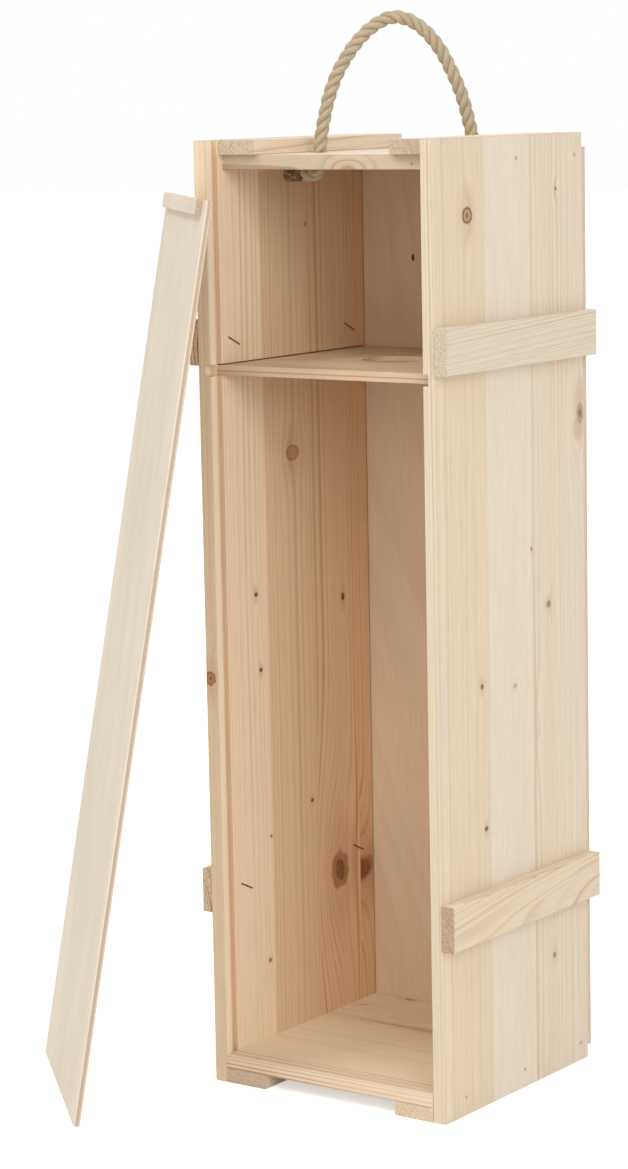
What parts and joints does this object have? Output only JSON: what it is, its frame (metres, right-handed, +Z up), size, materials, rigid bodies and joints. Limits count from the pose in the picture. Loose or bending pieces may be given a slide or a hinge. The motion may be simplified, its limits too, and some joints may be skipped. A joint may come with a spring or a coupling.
{
  "type": "wooden wine box",
  "caption": "Tall upright wooden bottle box with a sliding thin lid, a shelf with a neck hole, outer battens, runners and a rope loop handle on top",
  "frame": {"origin": "on the floor, under the middle of the side panels' width and depth", "axes": "+Z up along the height of the box, +X to the right of someone facing the open front, +Y towards the back panel (the open front looks along -Y)"},
  "size_m": [0.3144, 0.2957, 0.6662],
  "materials": {
    "softwood": "sawn and planed, bare",
    "plywood": "sanded, bare",
    "rope": "twisted, matte",
    "wrapping": "matte",
    "steel": "dull wire"
  },
  "bodies": {
    "box": {"left_side_panel": "softwood", "right_side_panel": "softwood", "top_board": "softwood", "bottom_board": "softwood", "back_panel": "plywood", "upper_left_batten": "softwood", "upper_right_batten": "softwood", "lower_left_batten": "softwood", "lower_right_batten": "softwood", "top_left_runner": "softwood", "top_right_runner": "softwood", "bottom_left_runner": "softwood", "bottom_right_runner": "softwood", "rope_handle": "rope", "rope_end_wraps": "wrapping", "batten_staples": "steel", "board_nails": "steel"},
    "shelf": {"neck_shelf": "plywood"},
    "lid": {"lid_panel": "plywood", "lid_grip": "softwood"}
  },
  "joints": [
    {"name": "shelf_slide", "type": "slide", "parent": "box", "child": "shelf", "axis": [0, -1, 0], "range_m": [0, 0.04]},
    {"name": "lid_slide", "type": "slide", "parent": "box", "child": "lid", "axis": [0, 0, 1], "range_m": [0, 0.6]}
  ]
}
